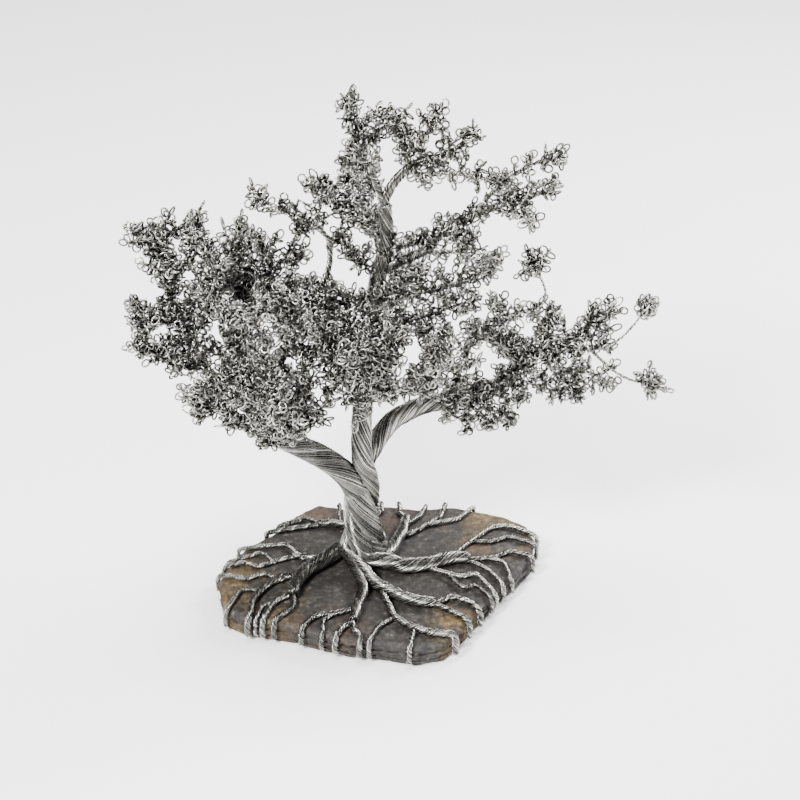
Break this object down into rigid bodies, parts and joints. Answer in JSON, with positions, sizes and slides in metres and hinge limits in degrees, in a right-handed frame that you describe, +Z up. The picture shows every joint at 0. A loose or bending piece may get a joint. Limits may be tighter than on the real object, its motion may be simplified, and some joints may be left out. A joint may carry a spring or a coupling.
{
  "type": "twisted wire tree sculpture on a stone slab",
  "caption": "Bonsai-shaped tree of twisted silver wire with curled wire loops as leaves; its roots spread over and hook down the edges of a flat slate slab.",
  "frame": {"origin": "on the slab's flat underside, straight below the middle of the trunk", "axes": "+Z up the trunk, +X towards the crown's longer side (the viewer's right), +Y away from the viewer"},
  "size_m": [0.2541, 0.1434, 0.2647],
  "materials": {
    "wire": "bright drawn craft wire, lightly dulled in the grooves",
    "slate": "natural cleft slate, dark grey with rust and ochre patches"
  },
  "bodies": {
    "root": {"branch_back": "wire", "branch_back_high": "wire", "branch_back_left": "wire", "branch_front": "wire", "branch_inner_curl": "wire", "branch_left_arch": "wire", "branch_left_back": "wire", "branch_left_front": "wire", "branch_left_low": "wire", "branch_left_middle": "wire", "branch_left_outer": "wire", "branch_left_rise": "wire", "branch_right_back": "wire", "branch_right_crest": "wire", "branch_right_drop": "wire", "branch_right_front": "wire", "branch_right_high": "wire", "branch_right_inner": "wire", "branch_right_low": "wire", "branch_right_middle": "wire", "branch_right_outer": "wire", "branch_top_left": "wire", "branch_top_right": "wire", "branch_upper_right": "wire", "leaves_arch": "wire", "leaves_back": "wire", "leaves_left_inner": "wire", "leaves_left_outer": "wire", "leaves_middle_right": "wire", "leaves_right_inner": "wire", "leaves_right_outer": "wire", "leaves_top": "wire", "leaves_upper_right": "wire", "limb_centre": "wire", "limb_left": "wire", "limb_right": "wire", "root_back": "wire", "root_back_left": "wire", "root_back_right": "wire", "root_front": "wire", "root_front_right": "wire", "root_left": "wire", "root_left_upper": "wire", "root_right": "wire", "rootlets_back": "wire", "rootlets_front": "wire", "rootlets_front_right": "wire", "rootlets_left": "wire", "rootlets_right": "wire", "slate_base": "slate", "trunk_strand_centre": "wire", "trunk_strand_left": "wire", "trunk_strand_right": "wire", "twigs_left": "wire", "twigs_right": "wire", "twigs_top": "wire"}
  },
  "joints": []
}
